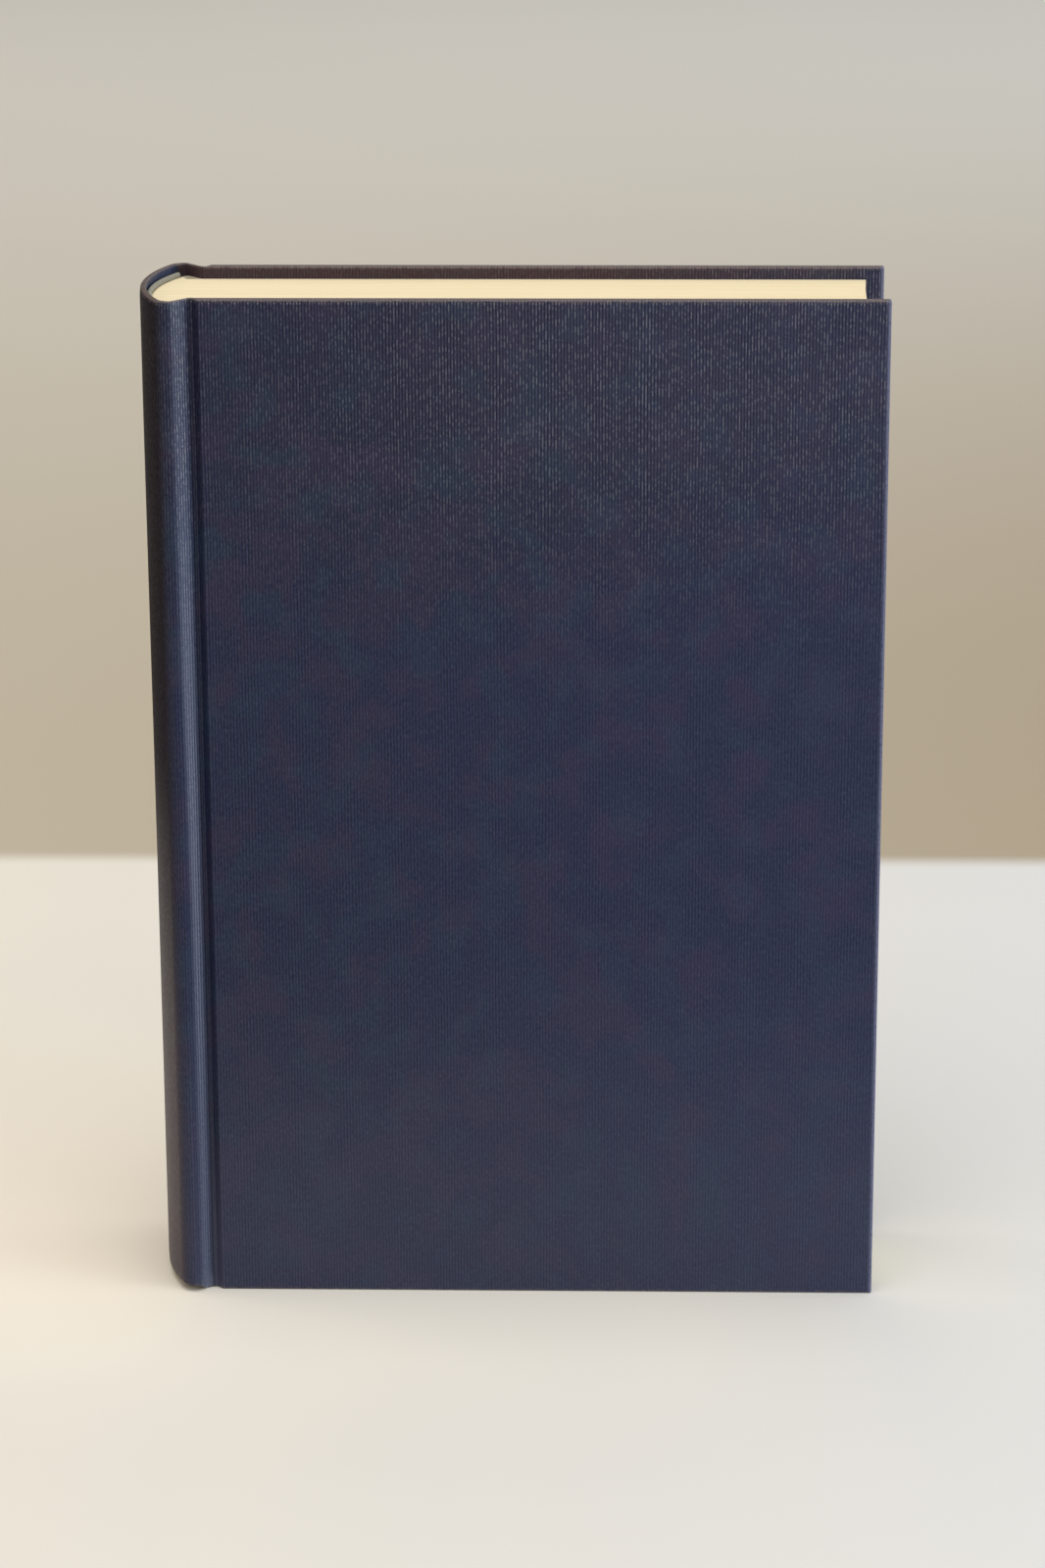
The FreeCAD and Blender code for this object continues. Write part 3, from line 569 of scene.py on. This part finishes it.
def gauze():
    """Mull: open starched weave."""
    s = Shade("mull_gauze")
    place, x, y, z = s.parts("object")
    one = s.math("ABSOLUTE", s.math("SINE", s.times(s.add(x, y), 2.6)))
    two = s.math("ABSOLUTE", s.math("SINE", s.times(z, 2.6)))
    web = s.math("MAXIMUM", one, two)
    fuzz = s.noise(place, 2.0, 3, 0.7)
    colour = s.mix(s.between(0.75, 0.95, web), linear(140, 134, 116), linear(200, 191, 166))
    colour = s.mix(s.times(fuzz, 0.25), colour, linear(180, 172, 150))
    normal = s.bump(web, 0.8, 0.1)
    return s.finish(colour, 0.9, normal, **{"Specular IOR Level": 0.2})


def kraft():
    """Brown lining paper."""
    s = Shade("kraft_lining")
    _, x, y, z = s.parts("object")
    fibre = s.noise(s.vector(x, y, s.times(z, 0.4)), 1.4, 4, 0.7)
    colour = s.mix(s.between(0.3, 0.7, fibre), linear(150, 118, 84), linear(176, 144, 106))
    normal = s.bump(fibre, 0.5, 0.04)
    return s.finish(colour, 0.85, normal, **{"Specular IOR Level": 0.2})


def case_path():
    """Columns of the case from the crown's middle to the fore-edge.

    Outer points, inner points, depth between them, length along the cloth,
    how much each column belongs to the spine and shares its lift off the
    floor, and the length at which the spine ends.
    """
    crown, crown_n = arc(CROWN_C, CROWN_R, vec(-1, 0), CROWN_N, 41)
    crown[:, 1] = np.abs(crown[:, 1])
    crest, crest_n = arc(CREST_C, CREST_R, CROWN_N, vec(0, 1), 13)
    flank, flank_n = arc(FLANK_C, FLANK_R, vec(0, 1), FLANK_N, 9)
    runs = steps(0.0, 0.2, 3.2, 0.35, FLANK_RUN)
    start = FLANK_C + FLANK_N * FLANK_R
    side = start + runs[:, None] * FLANK_WAY
    dip, dip_n = arc(GROOVE_C, -GROOVE_R, FLANK_N, SLOPE_N, 13)
    ramp_end = EDGE_C + SLOPE_N * LIP_R
    ramp = dip[-1] + np.linspace(0, 1, 7)[:, None] * (ramp_end - dip[-1])
    lip, lip_n = arc(EDGE_C, LIP_R, SLOPE_N, vec(0, 1), 6)
    xs = steps(
        BOARD_X + LIP_R, 0.8, BOARD_X + 3, 2.0, TURN_X, 1.5, FORE_X - 4, 0.8,
        FORE_X - 1.6, 0.4, FORE_X - 0.8, 0.1, FORE_X,
    )
    face = np.stack([xs, np.full(len(xs), COVER_Y)], 1)
    stretches = (
        (crown, crown_n),
        (crest[1:], crest_n[1:]),
        (flank[1:], flank_n[1:]),
        (side[1:], np.tile(FLANK_N, (len(side) - 1, 1))),
        (dip[1:], dip_n[1:]),
        (ramp[1:], np.tile(SLOPE_N, (len(ramp) - 1, 1))),
        (lip[1:], lip_n[1:]),
        (face[1:], np.tile(vec(0, 1), (len(face) - 1, 1))),
    )
    outer = np.concatenate([points for points, _ in stretches])
    normal = np.concatenate([normals for _, normals in stretches])
    length = np.concatenate([[0], np.cumsum(np.linalg.norm(np.diff(outer, axis=0), axis=1))])
    spine_end = length[len(crown) + len(crest) - 2]
    thick = SPINE_DEPTH - (SPINE_DEPTH - 2 * CLOTH) * smooth(0, 2.0, length - spine_end)
    inner = outer - normal * thick[:, None]
    flat = (outer[:, 0] > GROOVE_X) & (length > spine_end)
    inner[flat] = np.stack([outer[flat, 0], np.full(flat.sum(), LINER_Y)], 1)
    thick = np.linalg.norm(outer - inner, axis=1)
    spine = 1 - smooth(-1.5, 1.0, length - spine_end)
    lift = 1 - smooth(0.6, 4.6, length - spine_end)
    return outer, inner, thick, length, spine, lift, spine_end


def level_list():
    """Heights of the rows, close together at the rims."""
    low = steps(0.0, 0.1, 0.6, 0.3, 1.2, 0.6, 3.0, 1.5, TURN_IN)
    middle = steps(TURN_IN, 2.5, HEIGHT - TURN_IN)
    return np.concatenate([low, middle[1:-1], (HEIGHT - low)[::-1]])


def wrapped_cloth(side, name, material):
    """Half of the case's cloth: half the spine, a joint and a covered board.

    It is laid out as a box of columns along the cloth, layers through the
    board and rows up the height, whose edges are then rounded.
    """
    outer, inner, thick, length, spine, lift, spine_end = case_path()
    levels = level_list()
    r_depth = np.minimum(0.5, 0.46 * thick)
    r_end = np.interp(thick, [0.6, 1.35, 2.6], [0.32, 0.5, 0.45])
    shares = np.array([0, 0.3, 0.65, 1.0])
    foot = SPINE_LIFT * lift

    def shape(i, b, h):
        """Points at column i, depth b and height h, rounded and placed.

        cb, cz and ca are the place on the box shrunk by the rims' radii, from
        which a point stands off by them.
        """
        i, b, h = np.broadcast_arrays(i, b, h)
        rd, re, t = r_depth[i], r_end[i], thick[i]
        low = foot[i]
        z = low + h * (HEIGHT - low) / HEIGHT
        in_board = outer[i, 0] > BOARD_X + LIP_R
        a = np.where(in_board, FORE_X - outer[i, 0], 99.0)
        cb = np.clip(b, rd, t - rd)
        cz = np.clip(z, low + re, HEIGHT - re)
        ca = np.maximum(a, re)
        db, dz, da = (b - cb) / rd, (z - cz) / re, (a - ca) / re
        size = np.maximum(np.sqrt(db**2 + dz**2 + da**2), 1e-9)
        b2, z2, a2 = cb + rd * db / size, cz + re * dz / size, ca + re * da / size
        end = np.minimum(z - low, HEIGHT - z)
        curl = 0.25 * spine[i] * np.clip(1 - end / 2.6, 0, 1) ** 2
        share = ((b2 + curl) / t)[..., None]
        plan = outer[i] * (1 - share) + inner[i] * share
        plan[..., 0] += np.where(in_board, a - a2, 0)
        point = np.stack([plan[..., 0], plan[..., 1], z2], -1)
        # The spine is a little flatter towards the tail
        flatter = 0.2 * smooth(236, 90, z2)
        point[..., 0] += flatter * (1 - smooth(CREST_X, GROOVE_X - 1.0, outer[i, 0]))
        # The groove runs out just above the tail
        in_groove = np.exp(-(((outer[i, 0] - GROOVE_X) / 1.1) ** 2)) * (length[i] > spine_end)
        filled = 0.7 * in_groove * (1 - smooth(0.5, 4.5, z2))
        point[..., 1] += filled * (1 - np.clip(b2 / t, 0, 1))
        swell = 0.03 * waves(point, 34.0, 3 + side)
        outward = (outer[i] - inner[i]) / t[..., None]
        calm = smooth(0, 6, end)
        point[..., :2] -= outward * (np.abs(swell) * calm)[..., None]
        edge = np.minimum(end, np.where(in_board, a, 99.0))
        edge = np.where((b > 1e-6) & (b < t - 1e-6), 0.0, edge)
        over = np.where(h > HEIGHT / 2, b, -b)
        cloth = np.stack([length[i] + np.where(a < 1e-6, b, 0), z + over, edge], -1)
        return point, cloth, b / t

    skin = Skin(side)
    i = np.arange(len(outer))[:, None]
    skin.grid(*shape(i, 0.0, levels[None, :]), flip=True)
    depth_rows = []
    for k in i[:, 0]:
        rim = r_depth[k] * shares
        depth_rows.append(np.concatenate([rim, [thick[k] / 2], (thick[k] - rim)[::-1]]))
    depth_rows = np.array(depth_rows)
    skin.grid(*shape(i, depth_rows, HEIGHT))
    skin.grid(*shape(i, depth_rows, 0.0), flip=True)
    x_mid = (outer[1:, 0] + outer[:-1, 0]) / 2
    z_mid = (levels[1:] + levels[:-1]) / 2
    near_end = (z_mid < TURN_IN) | (z_mid > HEIGHT - TURN_IN)
    keep = near_end[None, :] | (x_mid[:, None] > TURN_X)
    skin.grid(*shape(i, thick[:, None], levels[None, :]), keep=keep)
    last = np.full((1, 1), len(outer) - 1)
    skin.grid(*shape(last, depth_rows[-1][:, None], levels[None, :]), flip=True)
    for level in (TURN_IN, HEIGHT - TURN_IN):
        back = thick[:, None] - np.array([[0, CLOTH]])
        keep = x_mid[:, None] < TURN_X
        skin.grid(*shape(i, back, level), keep=keep, flip=level > HEIGHT / 2)
    return skin.make(name, material)


def sheet_profile(path, half):
    """Both faces of a thin sheet along a path, as offset points."""
    way = np.gradient(path, axis=0)
    way /= np.linalg.norm(way, axis=1)[:, None]
    across = np.stack([-way[:, 1], way[:, 0]], 1)
    return path + across * half, path - across * half


def pasted_paper(side, name, material):
    """Endpaper from the shoulder's tip over the joint and down on the board."""
    half = PAPER / 2
    mid = 2 * CLOTH + half
    tip = vec(TIP_X - 0.02, TIP_Y + 0.12)
    bend = vec(TIP_X + 0.95, TIP_Y + 1.5)
    landing = 1.6
    land = FLANK_C + FLANK_N * (FLANK_R - mid) + FLANK_WAY * landing
    t = np.linspace(0, 1, 15)[:, None]
    fold = (1 - t) ** 2 * tip + 2 * t * (1 - t) * bend + t**2 * land
    down = land + steps(0.0, 0.25, FLANK_RUN - landing)[:, None] * FLANK_WAY
    dip, _ = arc(GROOVE_C, -(GROOVE_R + mid), FLANK_N, vec(0, 1), 8)
    xs = steps(
        GROOVE_X, 1.0, MULL_X - 4, 0.4, MULL_X + 4, 3.0, TURN_X - 4, 0.4, TURN_X + 4,
        1.5, PAGE_X,
    )
    flat = np.stack([xs, np.full(len(xs), LINER_Y - half)], 1)
    path = np.concatenate([fold, down[1:], dip[1:], flat[1:]])
    one, two = sheet_profile(path, half)
    levels = np.concatenate([
        steps(TAIL_Z, 3.0, TURN_IN - 3), steps(TURN_IN - 3, 0.4, TURN_IN + 3)[1:],
        steps(TURN_IN + 3, 4.0, HEIGHT - TURN_IN - 3)[1:],
        steps(HEIGHT - TURN_IN - 3, 0.4, HEIGHT - TURN_IN + 3)[1:],
        steps(HEIGHT - TURN_IN + 3, 3.0, HEAD_Z)[1:],
    ])
    length = np.concatenate([[0], np.cumsum(np.linalg.norm(np.diff(path, axis=0), axis=1))])
    x, z = np.meshgrid(path[:, 0], levels, indexing="ij")
    inside = smooth(MULL_X - 0.1, MULL_X + 1.3, x) * (1 - smooth(TURN_X - 1.3, TURN_X + 0.1, x))
    inside = inside * smooth(TURN_IN - 0.1, TURN_IN + 1.3, z)
    inside = inside * (1 - smooth(HEIGHT - TURN_IN - 1.3, HEIGHT - TURN_IN + 0.1, z))
    skin = Skin(side)
    cloth = np.stack([np.broadcast_to(length[:, None], x.shape), z, x * 0], -1)
    faces = []
    for plan in (one, two):
        y = plan[:, 1][:, None] + 0.29 * inside
        px = np.broadcast_to(plan[:, 0][:, None], x.shape)
        faces.append(np.stack([px, y, z], -1))
    skin.grid(faces[0], cloth)
    skin.grid(faces[1], cloth, flip=True)
    for index in (0, -1):
        skin.grid(
            np.stack([faces[0][index], faces[1][index]]),
            np.stack([cloth[index]] * 2), flip=index == -1,
        )
        skin.grid(
            np.stack([faces[0][:, index], faces[1][:, index]]),
            np.stack([cloth[:, index]] * 2), flip=index == 0,
        )
    return skin.make(name, material, sharp=60, weld=0.0005)


def pages(material):
    """The trimmed pages, with the leaves' edges in relief on three sides."""
    leaves, gatherings = 170, 13
    q = np.linspace(-1, 1, leaves)
    drop = rng.normal(0, 1, (3, leaves))
    seam = 0.5 + 0.5 * np.cos(math.pi * (q + 1) * gatherings)
    drop = np.abs(drop) * 0.028 + 0.03 * seam**8
    p = np.concatenate([steps(0, 0.02, 0.9), steps(0.9, 0.0066, 1.0)[1:]])
    levels = steps(TAIL_Z, 4.0, HEAD_Z)

    def plan(qq, pp):
        """Leaf and share of the way from the fore-edge to the back.

        The fore-edge is a little hollow and skewed towards the front.
        """
        hollow, skew = 0.35 * (1 - qq**2), 0.25 * (1 - qq)
        fore = PAGE_X - hollow - skew - 0.02
        back = BACK_X - np.sqrt(BACK_R**2 - (qq * TIP_Y) ** 2)
        x = fore + (back - fore) * pp
        start = SHOULDER_X + 2.2 * (1 - np.abs(qq))
        share = np.clip(start - x, 0, None) / np.clip(start - back, 1e-6, None)
        y = qq * (BLOCK_Y + (TIP_Y - BLOCK_Y) * share)
        return x, y

    skin = Skin(BACK)
    qq, pp = np.meshgrid(q, p, indexing="ij")
    x, y = plan(qq, pp)
    wob = 0.02 * waves(np.stack([x, y * 3], -1), 30, 5)
    for level, row, up in ((HEAD_Z, 0, 1), (TAIL_Z, 1, -1)):
        z = level - up * (drop[row][:, None] + 0.02 + wob)
        z[:, 0] = z[:, -1] = level - up * 0.02
        z[0, :] = z[-1, :] = level - up * 0.02
        skin.grid(
            np.stack([x, y, z], -1), np.stack([y, x, x * 0], -1), flip=up < 0
        )
    hh = levels[None, :]
    edge_z = np.where(hh == HEAD_Z, HEAD_Z - 0.02, np.where(hh == TAIL_Z, TAIL_Z + 0.02, hh))
    for col, cut in ((0, True), (-1, False)):
        bx = np.broadcast_to(x[:, col][:, None], (leaves, len(levels))).copy()
        by = np.broadcast_to(y[:, col][:, None], bx.shape)
        bz = np.broadcast_to(edge_z, bx.shape)
        if cut:
            calm = ((hh > TAIL_Z + 0.1) & (hh < HEAD_Z - 0.1)) * np.ones_like(bx)
            calm[0] = calm[-1] = 0
            bx -= calm * drop[2][:, None]
        skin.grid(np.stack([bx, by, bz], -1), np.stack([by, bz, bx * 0], -1), flip=cut)
    for row in (0, -1):
        sx = np.broadcast_to(x[row][:, None], (len(p), len(levels)))
        sy = np.broadcast_to(y[row][:, None], sx.shape)
        sz = np.broadcast_to(edge_z, sx.shape)
        skin.grid(np.stack([sx, sy, sz], -1), np.stack([sy, sz, sx * 0 + 1], -1), flip=row == 0)
    return skin.make("pages", material, sharp=35, weld=0.0005)


def headband(name, edge_z, up, material):
    """Thread wound on a core, and its tape down the back of the pages."""
    spread = math.asin((TIP_Y - 0.3) / BACK_R)
    count = 420
    turns = np.linspace(-spread, spread, count)
    ring = np.linspace(0, 2 * math.pi, 17)
    skin = Skin(BACK)
    arc_at = turns * BACK_R
    wind = np.abs(np.sin(arc_at[:, None] * math.pi / 0.34 + ring[None, :] * 0.5))
    end = np.clip((spread - np.abs(turns)) / 0.012, 0, 1) ** 0.5
    bead = (0.56 + 0.04 * wind) * end[:, None]
    across = BACK_R + 0.45 + bead * np.cos(ring)[None, :]
    z = edge_z + up * (0.6 + bead * np.sin(ring)[None, :])
    x = BACK_X - across * np.cos(turns)[:, None]
    y = across * np.sin(turns)[:, None]
    u = np.broadcast_to(arc_at[:, None], x.shape)
    v = np.broadcast_to(ring[None, :] * 0.6, x.shape)
    skin.grid(np.stack([x, y, z], -1), np.stack([u, v, u * 0], -1), flip=up < 0)
    rows = steps(0.0, 1.0, 12.0)
    turns = np.linspace(-spread, spread, 61)
    for depth, flip in ((0.35, False), (0.1, True)):
        x = BACK_X - (BACK_R + depth) * np.cos(turns)[:, None] + rows[None, :] * 0
        y = (BACK_R + depth) * np.sin(turns)[:, None] + rows[None, :] * 0
        z = edge_z - up * (rows[None, :] - 0.4) + x * 0
        u = np.broadcast_to((turns * BACK_R)[:, None], x.shape)
        skin.grid(np.stack([x, y, z], -1), np.stack([u, z, u * 0], -1), flip=flip ^ (up < 0))
    return skin.make(name, material, sharp=60, weld=0.001)


def area(name, place, aim, size, watts, colour):
    """A rectangular lamp that faces a point."""
    data = bpy.data.lights.new(name, "AREA")
    data.shape, data.size, data.size_y = "RECTANGLE", size[0], size[1]
    data.energy, data.color = watts, colour
    lamp = bpy.data.objects.new(name, data)
    lamp.location = place
    way = Vector(aim) - Vector(place)
    lamp.rotation_mode = "QUATERNION"
    lamp.rotation_quaternion = way.to_track_quat("-Z", "Y")
    bpy.context.scene.collection.objects.link(lamp)


def ground():
    """One floor: a table's colour near the book, with painted light around the book and a
    warm-to-cool painted tint, and a wall's colour beyond with painted shading.
    """
    s = Shade("floor_paint")
    place, x, y, _ = s.parts("object")
    grain = s.noise(place, 0.012, 3, 0.5)
    # Painted tint of the light: warm to the left, cooler to the right.
    table = s.mix(s.between(-300.0, 260.0, x), linear(237, 230, 214), linear(227, 229, 229))
    table = s.mix(s.times(grain, 0.15), table, linear(228, 220, 204))
    # Painted light around the book, except to its right, lifting its contact shadow.
    aside = s.math("MAXIMUM", s.less(s.math("ABSOLUTE", x), 84.0), 0.0)
    ahead = s.math("MAXIMUM", s.less(s.math("ABSOLUTE", y), 21.0), 0.0)
    away = s.math("SQRT", s.add(s.times(aside, aside), s.times(ahead, ahead)))
    pale = s.times(s.between(100.0, 2.0, away), s.between(95.0, 30.0, x))
    table = s.mix(s.times(pale, 0.6), table, linear(248, 243, 230))
    # Painted warm light to the left of the book, lifting its shadow there.
    beside = s.times(s.between(190.0, 5.0, away), s.between(-60.0, -100.0, x))
    beside = s.times(beside, s.between(-90.0, 0.0, y))
    table = s.mix(s.times(beside, 0.75), table, linear(255, 244, 224))
    # Painted shading of a wall: lighter far off, darker and warmer low down and to the right.
    low_wall = s.mix(s.between(-260.0, 420.0, x), linear(193, 183, 162), linear(172, 156, 131))
    high_wall = s.mix(s.between(-700.0, 700.0, x), linear(243, 237, 224), linear(242, 242, 235))
    far = s.mix(s.between(300.0, 1900.0, y), low_wall, high_wall)
    colour = s.mix(s.between(286.0, 300.0, y), table, far)
    material = s.finish(colour, 0.85, **{"Specular IOR Level": 0.2})
    mesh = bpy.data.meshes.new("floor")
    half = 6.0
    corners = [(-half, -half, 0), (half, -half, 0), (half, half, 0), (-half, half, 0)]
    mesh.from_pydata(corners, [], [(0, 1, 2, 3)])
    mesh.materials.append(material)
    floor = bpy.data.objects.new("floor", mesh)
    bpy.context.scene.collection.objects.link(floor)


def light():
    """Air that is warm from the left and cool from the right, and three lamps."""
    world = bpy.data.worlds.new("studio_air")
    bpy.context.scene.world = world
    world.use_nodes = True
    nodes, links = world.node_tree.nodes, world.node_tree.links
    way = nodes.new("ShaderNodeTexCoord")
    split = nodes.new("ShaderNodeSeparateXYZ")
    links.new(way.outputs["Generated"], split.inputs[0])
    across = nodes.new("ShaderNodeMapRange")
    across.inputs["From Min"].default_value = -1.0
    links.new(split.outputs[0], across.inputs["Value"])
    tint = nodes.new("ShaderNodeMix")
    tint.data_type = "RGBA"
    links.new(across.outputs[0], tint.inputs[0])
    tint.inputs[6].default_value = (0.62, 0.565, 0.50, 1.0)
    tint.inputs[7].default_value = (0.92, 0.96, 1.02, 1.0)
    air = nodes["Background"]
    links.new(tint.outputs[2], air.inputs[0])
    air.inputs[1].default_value = 0.56
    area("window", (3.4, -1.24, 0.62), (0.0, 0.0, 0.12), (1.6, 1.1), 57.0, (0.84, 0.92, 1.0))
    area("warm_side", (-1.4, 0.25, 0.9), (0.0, 0.0, 0.1), (1.0, 1.0), 3.6, (1.0, 0.86, 0.7))
    area("ceiling", (0.0, -0.6, 2.2), (0.0, 0.0, 0.0), (2.4, 2.0), 34.0, (1.0, 0.97, 0.95))


def camera():
    """The photo's view, as fitted to the book's edges."""
    yaw, pitch, roll = (math.radians(a) for a in (1.510, 18.28, -0.238))
    level = Vector((math.cos(yaw), math.sin(yaw), 0))
    ahead = Vector((-math.sin(yaw), math.cos(yaw), 0))
    forward = ahead * math.cos(pitch) - Vector((0, 0, math.sin(pitch)))
    raised = ahead * math.sin(pitch) + Vector((0, 0, math.cos(pitch)))
    right = level * math.cos(roll) + raised * math.sin(roll)
    up = raised * math.cos(roll) - level * math.sin(roll)
    lens = bpy.data.cameras.new("view")
    lens.sensor_width, lens.lens = 36.0, 108.32
    lens.clip_start, lens.clip_end = 0.01, 50.0
    thing = bpy.data.objects.new("view", lens)
    turn = Matrix((right, up, -forward)).transposed().to_4x4()
    place = Vector(((FORE_X - 55.21) * MM, -1046.34 * MM, 466.48 * MM))
    thing.matrix_world = Matrix.Translation(place) @ turn
    bpy.context.scene.collection.objects.link(thing)
    bpy.context.scene.camera = thing
    bpy.context.scene.view_settings.view_transform = "Standard"


def paint(node, material):
    """Give a CAD piece a material."""
    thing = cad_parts[node]
    for holder in thing.material_slots:
        holder.material = material


cloth_material = book_cloth()
paper_material = end_paper()
card_material = card()
mull_material = gauze()
lining_material = kraft()

for side, half in ((FRONT, "front"), (BACK, "back")):
    piece = wrapped_cloth(side, f"{half}_case_cloth", cloth_material)
    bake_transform(piece)
    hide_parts(f"{half}_cover_cloth", "spine_cloth")
    sheet = pasted_paper(side, f"{half}_endpaper", paper_material)
    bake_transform(sheet)
    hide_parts(f"{half}_pastedown")
    paint(f"{half}_flyleaf", paper_material)
    paint(f"{half}_board", card_material)
    paint(f"{half}_mull_flange", mull_material)

block = pages(page_paper())
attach(block, "root")
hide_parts("text_block")
band_thread = thread("band_thread", linear(156, 154, 140), linear(112, 109, 98), 0.34)
for name, edge_z, up in (("head_band", HEAD_Z, 1), ("tail_band", TAIL_Z, -1)):
    band = headband(f"{name}_thread", edge_z, up, band_thread)
    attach(band, "root")
    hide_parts(name)
paint("spine_inlay", card_material)
paint("spine_mull", mull_material)
paint("spine_lining", lining_material)
ground()
light()
camera()
